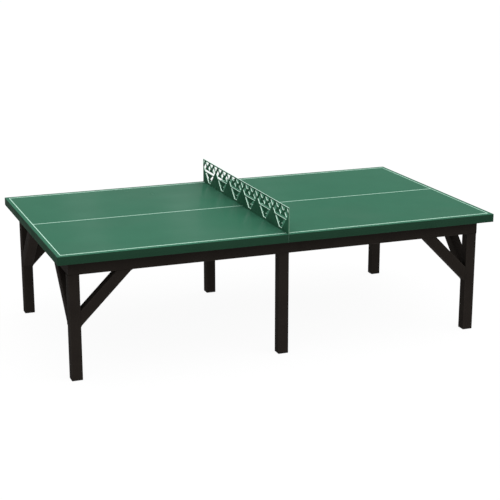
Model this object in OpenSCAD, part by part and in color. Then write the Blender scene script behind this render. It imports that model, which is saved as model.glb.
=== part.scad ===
// Ping pong table with a fixed steel net, on a welded frame of square tube.
// Millimetres. +X along the length, +Y towards the back, +Z up.
// Origin: on the floor, under the centre of the table.

/* [Playing top] */
// Length of the whole playing surface
top_length = 2740; // [2200:10:3200]
// Width of the playing surface and of the net
top_width = 1525; // [1200:5:1900]
// Height of the playing surface above the floor
top_height = 760; // [620:5:920]
// Thickness of the top
top_thickness = 50; // [35:1:70]

/* [Frame] */
// Distance from the edge of the top to the outer faces of the frame
frame_inset = 73; // [20:1:120]
// Outer width of every frame tube
tube_size = 65; // [50:1:80]
// Wall thickness of the frame tubes
tube_wall = 3; // [2:0.5:5]
// Outer corner radius of the frame tubes
tube_corner = 6; // [5.5:0.5:9]
// Depth of the rails under the top
rail_depth = 85; // [70:1:110]
// Depth of the two light cross rails
light_rail_depth = 40; // [30:1:60]
// Distance of the light cross rails from the middle of the table
light_rail_place = 650; // [500:5:800]
// Depth of the diagonal braces
brace_depth = 65; // [40:1:80]
// Distance from the leg to where the outer face of a brace meets the rail
brace_reach = 305; // [200:1:400]

/* [Feet] */
// Thickness of the foot cap below the leg
cap_flange = 5; // [2:0.5:12]
// Depth of the foot cap inside the leg
cap_depth = 22; // [10:1:40]
// Wall thickness of the foot cap
cap_wall = 2.5; // [1.5:0.5:4]
// Gap between the foot cap and the inside of the leg
cap_clearance = 0.2; // [0.1:0.1:0.5]

/* [Net] */
// Height of the net above the playing surface
net_height = 157; // [140:1:180]
// Thickness of the net plate
net_thickness = 6; // [3:0.5:10]
// Gap on each side of the net plate, between the halves of the top
net_clearance = 0.5; // [0.2:0.1:1]
// Number of equal motifs along the net
motif_count = 6; // [4:1:8]
// Height of the border along the top of the net
border_width = 8; // [5:0.5:14]
// Width of the long bar of the net
bar_width = 6.5; // [5:0.5:10]
// Width of the bars in inverted V form
lattice_width = 14; // [8:0.5:18]
// Height of the upper edge of the long bar above the playing surface
long_bar_height = 78; // [70:1:86]
// Height of the lowest opening above the playing surface
tip_height = 12; // [8:1:20]
// Width of the flat tip of the lowest opening
tip_width = 42; // [30:1:60]
// Height of the large triangles between the motifs
peak_height = 116; // [108:1:128]
// Number of bars in inverted V form under the border, for each motif
row_count = 3; // [2:1:4]
// Length of each tab that holds the net plate
tab_length = 60; // [40:1:90]
// Depth of the tabs below the top
tab_depth = 45; // [30:1:55]
// Distance of the outer tabs from the edge of the top
tab_place = 260; // [200:5:400]

/* [Fixings] */
// Length of each flange of a bracket
bracket_flange = 40; // [30:1:50]
// Thickness of the brackets
bracket_wall = 4; // [3:0.5:6]
// Length of the brackets along the rail
bracket_length = 50; // [30:1:80]
// Distance of the end brackets from the middle line of the table
end_bracket_place = 350; // [250:5:450]
// Distance of the inner side brackets from the middle of the table
inner_bracket_place = 400; // [300:5:450]
// Distance of the outer side brackets from the middle of the table
outer_bracket_place = 930; // [850:5:950]
// Distance of the middle brackets from the middle line of the table
middle_bracket_place = 200; // [150:5:240]
// Thread diameter of the bolts
bolt_size = 8; // [6:1:10]
// Clearance of the bolts in their holes, on the diameter
bolt_clearance = 1; // [0.5:0.5:2]
// Length of the threaded inserts in the top
insert_length = 18; // [12:1:25]
// Outer diameter of the threaded inserts
insert_size = 12; // [11:0.5:16]

/* [Hidden] */

STEEL_PAINT = [0.15, 0.13, 0.125];
TOP_GREEN = [0.28, 0.48, 0.39];
ZINC = [0.72, 0.73, 0.74];
BRASS = [0.75, 0.62, 0.3];
CAP_BLACK = [0.06, 0.06, 0.06];

ROUND = 48;
LEFT = -1;
RIGHT = 1;
FRONT = -1;
BACK = 1;
// Small step that carries a cut past the face it opens
past = 1;

// Levels
top_bottom = top_height - top_thickness;
rail_bottom = top_bottom - rail_depth;

// Plan of the frame
frame_x = top_length / 2 - frame_inset;
frame_y = top_width / 2 - frame_inset;
inner_x = frame_x - tube_size;
inner_y = frame_y - tube_size;
leg_x = frame_x - tube_size / 2;
leg_y = frame_y - tube_size / 2;

// Seam between the halves of the top, where the net plate stands
seam_half = net_thickness / 2 + net_clearance;

// Bolts and what they pass through
hole_size = bolt_size + bolt_clearance;
washer_size = 2 * bolt_size;
washer_thickness = 1.6;
head_size = 1.625 * bolt_size;
head_height = 0.66 * bolt_size;
nut_height = 0.85 * bolt_size;
thread_gap = 0.2;

// Brackets: hole at the middle of the flange, clear of the bend
bracket_hole = bracket_wall + (bracket_flange - bracket_wall) / 2;

// Each bracket as [x, y, direction its flange points]
function side_bracket(x, side) = [x, side * inner_y, side > 0 ? -90 : 90];
function end_bracket(y, side) = [side * inner_x, y, side > 0 ? 180 : 0];
function middle_bracket(y, side) = [side * tube_size / 2, y, side > 0 ? 0 : 180];

BRACKETS = [
    side_bracket(-outer_bracket_place, FRONT), side_bracket(-inner_bracket_place, FRONT),
    side_bracket(inner_bracket_place, FRONT), side_bracket(outer_bracket_place, FRONT),
    side_bracket(-outer_bracket_place, BACK), side_bracket(-inner_bracket_place, BACK),
    side_bracket(inner_bracket_place, BACK), side_bracket(outer_bracket_place, BACK),
    end_bracket(-end_bracket_place, LEFT), end_bracket(end_bracket_place, LEFT),
    end_bracket(-end_bracket_place, RIGHT), end_bracket(end_bracket_place, RIGHT),
    middle_bracket(-middle_bracket_place, LEFT), middle_bracket(middle_bracket_place, LEFT),
    middle_bracket(-middle_bracket_place, RIGHT), middle_bracket(middle_bracket_place, RIGHT)
];

// Tabs of the net plate along the width
tab_y = top_width / 2 - tab_place;
TABS = [-tab_y, 0, tab_y];
tab_hole_z = top_bottom - tab_depth / 2;

// Motif of the net
motif_pitch = top_width / motif_count;
row_pitch = motif_pitch / row_count;
border_bottom = net_height - border_width;
long_bar_bottom = long_bar_height - bar_width;
// Upper triangles: they stand a slot above the long bar, at the feet of the inverted Vs
slot_height = 15;
upper_base = long_bar_height + slot_height;
upper_half = 0.52 * row_pitch;
upper_rise = 0.7 * (border_bottom - upper_base);
foot_height = upper_base + 0.3 * upper_rise;
// Hanging triangles: the first under the long bar, the second at its point
hanging_half = 0.215 * motif_pitch;
hanging_drop = 0.59 * (long_bar_bottom - tip_height);
point_base = long_bar_bottom - 0.5 * (long_bar_bottom - tip_height);
point_half = 0.5 * hanging_half;
point_drop = 0.38 * (long_bar_bottom - tip_height);

// ---------- shapes shared by several pieces ----------

module rounded_rectangle(width, depth, radius) {
    square([width - 2 * radius, depth], center = true);
    square([width, depth - 2 * radius], center = true);
    for (x = [-1, 1], y = [-1, 1])
        translate([x * (width / 2 - radius), y * (depth / 2 - radius)])
            circle(r = radius, $fn = ROUND);
}

module tube_section(width, depth) {
    difference() {
        rounded_rectangle(width, depth, tube_corner);
        rounded_rectangle(width - 2 * tube_wall, depth - 2 * tube_wall, tube_corner - tube_wall);
    }
}

// Tube along X, centred on the origin
module tube_along_x(length, width, depth) {
    rotate([90, 0, 90])
        linear_extrude(height = length, center = true)
            tube_section(width, depth);
}

// Tube along Y, centred on the origin
module tube_along_y(length, width, depth) {
    rotate([90, 0, 0])
        linear_extrude(height = length, center = true)
            tube_section(width, depth);
}

// Rail along X with mitred ends, its outer face at -Y
module mitred_rail(half_length) {
    intersection() {
        translate([0, tube_size / 2, 0])
            tube_along_x(2 * half_length, tube_size, rail_depth);
        translate([0, 0, -rail_depth / 2 - past])
            linear_extrude(height = rail_depth + 2 * past)
                polygon([
                    [-half_length, 0], [half_length, 0],
                    [half_length - tube_size, tube_size], [tube_size - half_length, tube_size]
                ]);
    }
}

// Brace in the XZ plane: leg face at x = 0, underside of the rail at z = 0
module knee_brace() {
    middle = brace_reach / 2 - brace_depth / 2 * cos(45);
    intersection() {
        translate([0, -tube_size / 2, -brace_reach])
            cube([brace_reach, tube_size, brace_reach]);
        translate([middle, 0, -middle])
            rotate([0, 45, 0])
                linear_extrude(height = 2 * brace_reach, center = true)
                    tube_section(brace_depth, tube_size);
    }
}

module hexagon(size, height) {
    cylinder(d = size / cos(30), h = height, $fn = 6);
}

module ring(outer, inner, height) {
    difference() {
        cylinder(d = outer, h = height, $fn = ROUND);
        translate([0, 0, -past])
            cylinder(d = inner, h = height + 2 * past, $fn = ROUND);
    }
}

// Puts its children at every bracket's bolt, on the underside of the top
module at_top_bolts() {
    for (b = BRACKETS)
        translate([b[0], b[1], top_bottom])
            rotate([0, 0, b[2]])
                translate([bracket_hole, 0, 0])
                    children();
}

// Puts its children at every net bolt, with local Z along the bolt
module at_net_bolts() {
    for (y = TABS)
        translate([0, y, tab_hole_z])
            rotate([0, 90, 0])
                children();
}

// ---------- the top ----------

module half_top(side) {
    difference() {
        translate([side > 0 ? seam_half : -top_length / 2, -top_width / 2, top_bottom])
            cube([top_length / 2 - seam_half, top_width, top_thickness]);
        at_top_bolts()
            translate([0, 0, -past])
                cylinder(d = insert_size, h = insert_length + past, $fn = ROUND);
    }
}

module tabletop_left() color(TOP_GREEN) half_top(LEFT);
module tabletop_right() color(TOP_GREEN) half_top(RIGHT);

// ---------- the net ----------

// Bar of the lattice from one node to another, in the plane of the net
module lattice_bar(from, to) {
    run = to - from;
    translate(from)
        rotate(atan2(run[1], run[0]))
            translate([0, -lattice_width / 2])
                square([norm(run), lattice_width]);
}

// Triangle on a level base; a rise below zero points it down
module triangle(base, half, rise) {
    polygon([
        [base[0] - half, base[1]], [base[0] + half, base[1]], [base[0], base[1] + rise]
    ]);
}

function motif_x(i) = (i + 0.5) * motif_pitch - top_width / 2;

// Everything between the border and the zigzag line of the large triangles
module open_band() {
    end = top_width / 2 - border_width;
    zigzag = [
        for (i = [0 : motif_count - 1], side = [LEFT, RIGHT])
            each side < 0
                ? [[motif_x(i) - tip_width / 2, tip_height]]
                : [[motif_x(i) + tip_width / 2, tip_height], [motif_x(i) + motif_pitch / 2, peak_height]]
    ];
    intersection() {
        polygon(concat(
            [[top_width / 2, border_bottom], [-top_width / 2, border_bottom], [-top_width / 2, peak_height]],
            zigzag
        ));
        translate([-end, 0])
            square([2 * end, net_height]);
    }
}

// What stands inside the band, for one motif
module motif_bars() {
    translate([-motif_pitch / 2, long_bar_bottom])
        square([motif_pitch, bar_width]);
    triangle([0, long_bar_bottom + past], hanging_half, -hanging_drop);
    triangle([0, point_base], point_half, -point_drop);
    for (i = [1 : row_count - 1])
        triangle([(i - row_count / 2) * row_pitch, upper_base], upper_half, upper_rise);
    for (i = [0 : row_count - 1], lean = [-0.5, 0.5]) {
        x = (i + 0.5 - row_count / 2) * row_pitch;
        lattice_bar([x + lean * row_pitch, foot_height], [x, border_bottom + past]);
    }
}

module net_outline() {
    difference() {
        union() {
            translate([-top_width / 2, -top_thickness])
                square([top_width, top_thickness + net_height]);
            for (y = TABS)
                translate([y - tab_length / 2, -top_thickness - tab_depth])
                    square([tab_length, tab_depth + past]);
        }
        difference() {
            open_band();
            for (i = [0 : motif_count - 1])
                translate([motif_x(i), 0])
                    motif_bars();
        }
    }
}

module net_plate() {
    color(STEEL_PAINT)
        difference() {
            translate([0, 0, top_height])
                rotate([90, 0, 90])
                    linear_extrude(height = net_thickness, center = true)
                        net_outline();
            at_net_bolts()
                cylinder(d = hole_size, h = net_thickness + 2 * past, center = true, $fn = ROUND);
        }
}

// ---------- the rails ----------

module long_rail(side) {
    color(STEEL_PAINT)
        rotate([0, 0, side > 0 ? 180 : 0])
            translate([0, -frame_y, top_bottom - rail_depth / 2])
                mitred_rail(frame_x);
}

module short_rail(side) {
    color(STEEL_PAINT)
        rotate([0, 0, side > 0 ? 90 : -90])
            translate([0, -frame_x, top_bottom - rail_depth / 2])
                mitred_rail(frame_y);
}

module rail_front() long_rail(FRONT);
module rail_back() long_rail(BACK);
module rail_left() short_rail(LEFT);
module rail_right() short_rail(RIGHT);

module light_cross_rail(side) {
    color(STEEL_PAINT)
        translate([side * light_rail_place, 0, top_bottom - light_rail_depth / 2])
            tube_along_y(2 * inner_y, tube_size, light_rail_depth);
}

module cross_rail_left() light_cross_rail(LEFT);
module cross_rail_right() light_cross_rail(RIGHT);

// The net plate's tabs pass through slots in the upper wall of this rail
module cross_rail_middle() {
    slot_length = tab_length + 2 * net_clearance;
    color(STEEL_PAINT)
        difference() {
            translate([0, 0, top_bottom - rail_depth / 2])
                tube_along_y(2 * inner_y, tube_size, rail_depth);
            for (y = TABS)
                translate([-seam_half, y - slot_length / 2, top_bottom - tube_wall - past])
                    cube([2 * seam_half, slot_length, tube_wall + 2 * past]);
            at_net_bolts()
                cylinder(d = hole_size, h = tube_size + 2 * past, center = true, $fn = ROUND);
        }
}

// ---------- legs and feet ----------

module leg(column, row) {
    color(STEEL_PAINT)
        translate([column * leg_x, row * leg_y, cap_flange])
            linear_extrude(height = rail_bottom - cap_flange)
                tube_section(tube_size, tube_size);
}

module leg_front_left() leg(LEFT, FRONT);
module leg_front_middle() leg(0, FRONT);
module leg_front_right() leg(RIGHT, FRONT);
module leg_back_left() leg(LEFT, BACK);
module leg_back_middle() leg(0, BACK);
module leg_back_right() leg(RIGHT, BACK);

module foot_cap(column, row) {
    plug_size = tube_size - 2 * tube_wall - 2 * cap_clearance;
    plug_corner = tube_corner - tube_wall;
    color(CAP_BLACK)
        translate([column * leg_x, row * leg_y, 0]) {
            linear_extrude(height = cap_flange)
                rounded_rectangle(tube_size, tube_size, tube_corner);
            translate([0, 0, cap_flange])
                linear_extrude(height = cap_depth)
                    difference() {
                        rounded_rectangle(plug_size, plug_size, plug_corner);
                        square(plug_size - 2 * cap_wall, center = true);
                    }
        }
}

module foot_cap_front_left() foot_cap(LEFT, FRONT);
module foot_cap_front_middle() foot_cap(0, FRONT);
module foot_cap_front_right() foot_cap(RIGHT, FRONT);
module foot_cap_back_left() foot_cap(LEFT, BACK);
module foot_cap_back_middle() foot_cap(0, BACK);
module foot_cap_back_right() foot_cap(RIGHT, BACK);

// ---------- braces ----------

// Brace along the side of the table, from a corner leg towards the middle
module side_brace(column, row) {
    color(STEEL_PAINT)
        translate([column * inner_x, row * leg_y, rail_bottom])
            rotate([0, 0, column > 0 ? 180 : 0])
                knee_brace();
}

// Brace along the end of the table, from a corner leg towards the middle line
module end_brace(column, row) {
    color(STEEL_PAINT)
        translate([column * leg_x, row * inner_y, rail_bottom])
            rotate([0, 0, row > 0 ? -90 : 90])
                knee_brace();
}

module side_brace_front_left() side_brace(LEFT, FRONT);
module side_brace_front_right() side_brace(RIGHT, FRONT);
module side_brace_back_left() side_brace(LEFT, BACK);
module side_brace_back_right() side_brace(RIGHT, BACK);
module end_brace_front_left() end_brace(LEFT, FRONT);
module end_brace_front_right() end_brace(RIGHT, FRONT);
module end_brace_back_left() end_brace(LEFT, BACK);
module end_brace_back_right() end_brace(RIGHT, BACK);

// ---------- brackets and fixings ----------

// Angle bracket welded to a rail, with a hole for the bolt into the top
module bracket(place) {
    color(STEEL_PAINT)
        translate([place[0], place[1], top_bottom])
            rotate([0, 0, place[2]])
                difference() {
                    rotate([90, 0, 0])
                        linear_extrude(height = bracket_length, center = true)
                            polygon([
                                [0, 0], [bracket_flange, 0], [bracket_flange, -bracket_wall],
                                [bracket_wall, -bracket_wall], [bracket_wall, -bracket_flange],
                                [0, -bracket_flange]
                            ]);
                    translate([bracket_hole, 0, -bracket_wall - past])
                        cylinder(d = hole_size, h = bracket_wall + 2 * past, $fn = ROUND);
                }
}

module bracket_front_left_outer() bracket(BRACKETS[0]);
module bracket_front_left_inner() bracket(BRACKETS[1]);
module bracket_front_right_inner() bracket(BRACKETS[2]);
module bracket_front_right_outer() bracket(BRACKETS[3]);
module bracket_back_left_outer() bracket(BRACKETS[4]);
module bracket_back_left_inner() bracket(BRACKETS[5]);
module bracket_back_right_inner() bracket(BRACKETS[6]);
module bracket_back_right_outer() bracket(BRACKETS[7]);
module bracket_end_left_front() bracket(BRACKETS[8]);
module bracket_end_left_back() bracket(BRACKETS[9]);
module bracket_end_right_front() bracket(BRACKETS[10]);
module bracket_end_right_back() bracket(BRACKETS[11]);
module bracket_middle_left_front() bracket(BRACKETS[12]);
module bracket_middle_left_back() bracket(BRACKETS[13]);
module bracket_middle_right_front() bracket(BRACKETS[14]);
module bracket_middle_right_back() bracket(BRACKETS[15]);

// Hexagon bolts from below, through washer and bracket into the insert
module top_bolts() {
    shank = bracket_wall + washer_thickness + insert_length - 2;
    color(ZINC)
        at_top_bolts()
            translate([0, 0, -bracket_wall - washer_thickness]) {
                translate([0, 0, -head_height])
                    hexagon(head_size, head_height);
                cylinder(d = bolt_size, h = shank, $fn = ROUND);
            }
}

module top_washers() {
    color(ZINC)
        at_top_bolts()
            translate([0, 0, -bracket_wall - washer_thickness])
                ring(washer_size, bolt_size + thread_gap, washer_thickness);
}

module top_inserts() {
    color(BRASS)
        at_top_bolts()
            ring(insert_size, bolt_size + thread_gap, insert_length);
}

// Bolts across the middle cross rail, through the tabs of the net plate
module net_bolts() {
    grip = tube_size / 2 + washer_thickness;
    color(ZINC)
        at_net_bolts() {
            translate([0, 0, -grip - head_height])
                hexagon(head_size, head_height);
            translate([0, 0, -grip])
                cylinder(d = bolt_size, h = 2 * grip + nut_height + 2, $fn = ROUND);
        }
}

module net_washers() {
    color(ZINC)
        at_net_bolts()
            for (side = [LEFT, RIGHT])
                translate([0, 0, side > 0 ? tube_size / 2 : -tube_size / 2 - washer_thickness])
                    ring(washer_size, bolt_size + thread_gap, washer_thickness);
}

module net_nuts() {
    color(ZINC)
        at_net_bolts()
            translate([0, 0, tube_size / 2 + washer_thickness])
                difference() {
                    hexagon(head_size, nut_height);
                    translate([0, 0, -past])
                        cylinder(d = bolt_size + thread_gap, h = nut_height + 2 * past, $fn = ROUND);
                }
}

// ---------- the assembly ----------

tabletop_left();
tabletop_right();
net_plate();
rail_front();
rail_back();
rail_left();
rail_right();
cross_rail_left();
cross_rail_middle();
cross_rail_right();
leg_front_left();
leg_front_middle();
leg_front_right();
leg_back_left();
leg_back_middle();
leg_back_right();
side_brace_front_left();
side_brace_front_right();
side_brace_back_left();
side_brace_back_right();
end_brace_front_left();
end_brace_front_right();
end_brace_back_left();
end_brace_back_right();
foot_cap_front_left();
foot_cap_front_middle();
foot_cap_front_right();
foot_cap_back_left();
foot_cap_back_middle();
foot_cap_back_right();
bracket_front_left_outer();
bracket_front_left_inner();
bracket_front_right_inner();
bracket_front_right_outer();
bracket_back_left_outer();
bracket_back_left_inner();
bracket_back_right_inner();
bracket_back_right_outer();
bracket_end_left_front();
bracket_end_left_back();
bracket_end_right_front();
bracket_end_right_back();
bracket_middle_left_front();
bracket_middle_left_back();
bracket_middle_right_front();
bracket_middle_right_back();
top_bolts();
top_washers();
top_inserts();
net_bolts();
net_washers();
net_nuts();
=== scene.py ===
"""Ping pong table: a lacquered top in two halves, a fixed steel net and a welded frame of square tube.

Written as a Blender add-on. Each operator builds one group of pieces around the packed frame, in metres.
"""

import math

import bmesh
import bpy
from bpy.props import FloatProperty, FloatVectorProperty, IntProperty, PointerProperty
from mathutils import Matrix, Vector


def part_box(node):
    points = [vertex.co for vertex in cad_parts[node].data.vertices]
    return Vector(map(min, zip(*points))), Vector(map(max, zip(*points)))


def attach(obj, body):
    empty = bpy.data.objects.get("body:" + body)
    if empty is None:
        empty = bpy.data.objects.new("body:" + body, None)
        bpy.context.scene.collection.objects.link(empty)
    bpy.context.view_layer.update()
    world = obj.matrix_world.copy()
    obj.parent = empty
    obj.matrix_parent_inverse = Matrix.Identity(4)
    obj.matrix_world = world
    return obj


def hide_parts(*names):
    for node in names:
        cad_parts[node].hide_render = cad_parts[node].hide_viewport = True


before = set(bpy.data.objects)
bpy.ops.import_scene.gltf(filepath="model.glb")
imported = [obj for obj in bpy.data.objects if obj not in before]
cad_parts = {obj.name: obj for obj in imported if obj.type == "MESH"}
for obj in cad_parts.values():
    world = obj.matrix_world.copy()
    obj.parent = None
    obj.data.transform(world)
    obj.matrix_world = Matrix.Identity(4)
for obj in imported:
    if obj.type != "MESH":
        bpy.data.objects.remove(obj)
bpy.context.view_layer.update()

bl_info = {
    "name": "Ping Pong Table",
    "version": (1, 0, 0),
    "blender": (4, 5, 0),
    "location": "3D View > Sidebar > Table",
    "description": "Builds a ping pong table with a steel net on a welded steel frame",
    "category": "Add Mesh",
}

ROOT = "root"
MM = 0.001

# Sizes too small to be worth a setting, in metres
SAME_PLANE = 1e-7
CLEARANCE = 0.0001
SHORTEST_RIM = 0.0001
RIM_ROUND = 0.0006
FOOT_ROUND = 0.0015
WELD_CORNER = 0.004
HEX_CHAMFER = 0.0009
THREAD_PITCH = 0.00125
THREAD_START = 0.002
WASHER_ROUND = 0.00025
GROOVE_TAPER = 0.0004
GROOVE_WIDTH = 0.002
END_DEPTH = 0.002

# The stage, in metres and degrees
CAMERA_SPOT = (-2.828, -7.514, 2.701)
CAMERA_TURN = (math.pi / 2 - 0.27136, 0.0, -0.36561)
LAMP_AIM = (-0.22, 0.30, -1.0)
LAMP_SPREAD = 110
STRIP_SPOTS = ((1.85, 11.0, 3.6), (3.8, 11.0, 3.5))
STRIP_SIZE = (0.55, 2.4)
DOME_SHARE = 0.6

COLUMNS = {"left": -1, "middle": 0, "right": 1}
ROWS = {"front": -1, "back": 1}
END_COLUMNS = {"left": -1, "right": 1}


def srgb(red, green, blue):
    """A colour given as screen values from 0 to 255, as the linear colour a shader works in."""

    def linear(value):
        v = value / 255
        return v / 12.92 if v <= 0.04045 else ((v + 0.055) / 1.055) ** 2.4

    return (linear(red), linear(green), linear(blue))


def length(name, millimetres, description, low=0.0):
    """A length property, given in millimetres and kept in metres."""
    return FloatProperty(
        name=name,
        description=description,
        default=millimetres * MM,
        min=low,
        precision=4,
        subtype="DISTANCE",
        unit="LENGTH",
    )


def colour(name, value, description):
    """A colour property."""
    return FloatVectorProperty(
        name=name, description=description, default=value, min=0.0, max=1.0, size=3, subtype="COLOR"
    )


def share(name, value, description):
    """A property from 0 to 1."""
    return FloatProperty(
        name=name, description=description, default=value, min=0.0, max=1.0, subtype="FACTOR"
    )


class TopSettings(bpy.types.PropertyGroup):
    """Sizes and finishes of the playing top."""

    arris: length("Arris radius", 2.0, "Rounding along the edges of the boards")
    hairline: length("Seam arris", 0.3, "Rounding along the seam between the boards")
    side_line: length("Side line", 10, "Width of the white lines along the two long edges")
    side_margin: length("Side margin", 28, "Green left outside the side lines")
    end_line: length("End line", 5.5, "Width of the white lines across the ends")
    end_margin: length("End margin", 22, "Green left outside the end lines")
    centre_line: length("Centre line", 8, "Width of the line along the middle")
    lacquer: colour("Lacquer", srgb(58, 114, 90), "Green lacquer of the playing face")
    # Lighter, greyer lacquer: partly dull lacquer, partly painted sheen on the top
    haze_and_sheen: colour("Haze", srgb(66, 112, 91), "Lacquer where the sheen has gone dull")
    # Painted shade: the upright sides of the boards take this darker green for the shade on them
    shaded_band: colour("Edge band", srgb(30, 58, 43), "Darker green of the banded edges")
    underside: colour("Underside", srgb(40, 52, 44), "Sealed underside of the boards")
    line: colour("Lines", srgb(196, 238, 218), "Line paint")
    shine: share("Shine", 0.012, "Specular level of the lacquer")


class NetSettings(bpy.types.PropertyGroup):
    """Finishes of the net plate."""

    arris: length("Arris radius", 0.6, "Softening of the cut edges")
    face: colour("Face", srgb(50, 101, 77), "Dark green coat on the faces of the plate")
    # Partly the bare edge, partly painted light: only cut edges facing up or sideways are pale, those
    # facing down keep the dark coat
    edge: colour("Cut edge", srgb(205, 240, 222), "Pale cut edges of the plate")
    # A lighter grey-green that the upright ends of the plate take above the top, in place of the face coat
    thin: colour("Thin coat", srgb(98, 134, 112), "Upright ends of the plate, where the coat is thin")


class FrameSettings(bpy.types.PropertyGroup):
    """Sizes and finishes of the welded frame."""

    corner: length("Corner radius", 6, "Outer radius along the corners of the tubes")
    wall: length("Wall", 3, "Wall thickness of the tubes")
    steps: IntProperty(
        name="Corner steps", description="Faces round each corner of a tube", default=6, min=2, max=16
    )
    coat: colour("Coat", srgb(37, 33, 30), "Dark brown powder coat")
    # Lighter coat for dust, rubbed corners and the painted highlight along the roundings
    worn: colour("Worn coat", srgb(52, 47, 44), "Coat where the corners are rubbed")
    bead: length("Weld bead", 3.2, "Radius of the weld beads")
    ripple: length("Weld ripple", 4.2, "Distance from one ripple of a weld to the next")


class FixingSettings(bpy.types.PropertyGroup):
    """Sizes of the brackets, bolts, washers, nuts and inserts."""

    bolt: length("Bolt", 8, "Thread diameter of the bolts")
    flats: length("Across flats", 13, "Width of bolt heads and nuts across their flats")
    head: length("Head height", 5.28, "Height of the bolt heads")
    nut: length("Nut height", 6.8, "Height of the nuts")
    washer: length("Washer", 16, "Outer diameter of the washers")
    washer_depth: length("Washer thickness", 1.6, "Thickness of the washers")
    insert: length("Insert", 12, "Outer diameter of the threaded inserts")
    insert_depth: length("Insert length", 18, "Length of the threaded inserts")
    bolt_line: length("Bolt line", 22, "Distance of a bolt from the rail its bracket is welded to")
    bracket_wall: length("Bracket thickness", 4, "Thickness of the brackets")
    zinc: colour("Zinc", srgb(176, 180, 184), "Zinc plating of the fixings")
    brass: colour("Brass", srgb(190, 158, 88), "Brass of the inserts")


class StageSettings(bpy.types.PropertyGroup):
    """Floor, light and camera."""

    floor: length("Floor size", 160000, "Side of the square floor")
    pale: colour("Floor colour", (0.07, 0.07, 0.07), "Share of the light on it that the floor gives back")
    sky: FloatProperty(name="Sky", description="Strength of the light from all round", default=0.3)
    lamp: FloatProperty(name="Lamp", description="Strength of the wide lamp overhead", default=2.9)
    strip: FloatProperty(name="Strips", description="Power of the two tall strip lights", default=1.6)
    lens: FloatProperty(name="Lens", description="Focal length of the camera", default=93.69)


SETTINGS = {
    "table_top": TopSettings,
    "table_net": NetSettings,
    "table_frame": FrameSettings,
    "table_fixings": FixingSettings,
    "table_stage": StageSettings,
}


# ---------- materials ----------


class Finish:
    """A node material round one Principled surface, read in the object's own coordinates."""

    def __init__(self, name):
        self.material = bpy.data.materials.new(name)
        self.material.use_nodes = True
        self.tree = self.material.node_tree
        self.surface = self.tree.nodes["Principled BSDF"]
        self.place = self.tree.nodes.new("ShaderNodeTexCoord").outputs["Object"]
        self.normal = None

    def node(self, kind, **values):
        made = self.tree.nodes.new(kind)
        for key, value in values.items():
            setattr(made, key, value)
        return made

    def link(self, source, target):
        self.tree.links.new(source, target)

    def set(self, **values):
        """Sets constant sockets; a name's underscores stand for spaces."""
        for key, value in values.items():
            socket = self.surface.inputs[key.replace("_", " ")]
            socket.default_value = (*value, 1.0) if isinstance(value, tuple) else value

    def noise(self, scale, detail=3.0, roughness=0.55, stretch=(1.0, 1.0, 1.0), shift=(0.0, 0.0, 0.0)):
        mapping = self.node("ShaderNodeMapping")
        mapping.inputs["Scale"].default_value = stretch
        mapping.inputs["Location"].default_value = shift
        self.link(self.place, mapping.inputs["Vector"])
        made = self.node("ShaderNodeTexNoise")
        made.inputs["Scale"].default_value = scale
        made.inputs["Detail"].default_value = detail
        made.inputs["Roughness"].default_value = roughness
        self.link(mapping.outputs["Vector"], made.inputs["Vector"])
        return made.outputs["Fac"]

    def cells(self, scale, stretch=(1.0, 1.0, 1.0)):
        mapping = self.node("ShaderNodeMapping")
        mapping.inputs["Scale"].default_value = stretch
        self.link(self.place, mapping.inputs["Vector"])
        made = self.node("ShaderNodeTexVoronoi")
        made.inputs["Scale"].default_value = scale
        self.link(mapping.outputs["Vector"], made.inputs["Vector"])
        return made

    def spread(self, value, low, high, to_low=0.0, to_high=1.0):
        """Maps low..high onto to_low..to_high, held at both ends."""
        made = self.node("ShaderNodeMapRange", interpolation_type="SMOOTHSTEP")
        sockets = ("From Min", "From Max", "To Min", "To Max")
        for socket, number in zip(sockets, (low, high, to_low, to_high)):
            made.inputs[socket].default_value = number
        self.link(value, made.inputs["Value"])
        return made.outputs["Result"]

    def maths(self, operation, a, b):
        made = self.node("ShaderNodeMath", operation=operation)
        for socket, value in zip(made.inputs, (a, b)):
            if isinstance(value, (int, float)):
                socket.default_value = value
            else:
                self.link(value, socket)
        return made.outputs["Value"]

    def attribute(self, name):
        return self.node("ShaderNodeAttribute", attribute_name=name).outputs["Fac"]

    def mix(self, factor, a, b):
        made = self.node("ShaderNodeMix", data_type="RGBA")
        for socket, value in (("Factor_Float", factor), ("A_Color", a), ("B_Color", b)):
            target = next(s for s in made.inputs if s.identifier == socket)
            if isinstance(value, (int, float)):
                target.default_value = value
            elif isinstance(value, (tuple, list)):
                target.default_value = (*value, 1.0)
            else:
                self.link(value, target)
        return next(s for s in made.outputs if s.identifier == "Result_Color")

    def bump(self, height, strength, distance):
        """Adds one layer of relief on top of those already there."""
        made = self.node("ShaderNodeBump")
        made.inputs["Strength"].default_value = strength
        made.inputs["Distance"].default_value = distance
        self.link(height, made.inputs["Height"])
        if self.normal is not None:
            self.link(self.normal, made.inputs["Normal"])
        self.normal = made.outputs["Normal"]

    def finish(self, base, roughness):
        self.link(base, self.surface.inputs["Base Color"])
        self.link(roughness, self.surface.inputs["Roughness"])
        if self.normal is not None:
            self.link(self.normal, self.surface.inputs["Normal"])
        return self.material


def darker(value, by):
    return tuple(v * by for v in value)


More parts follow.
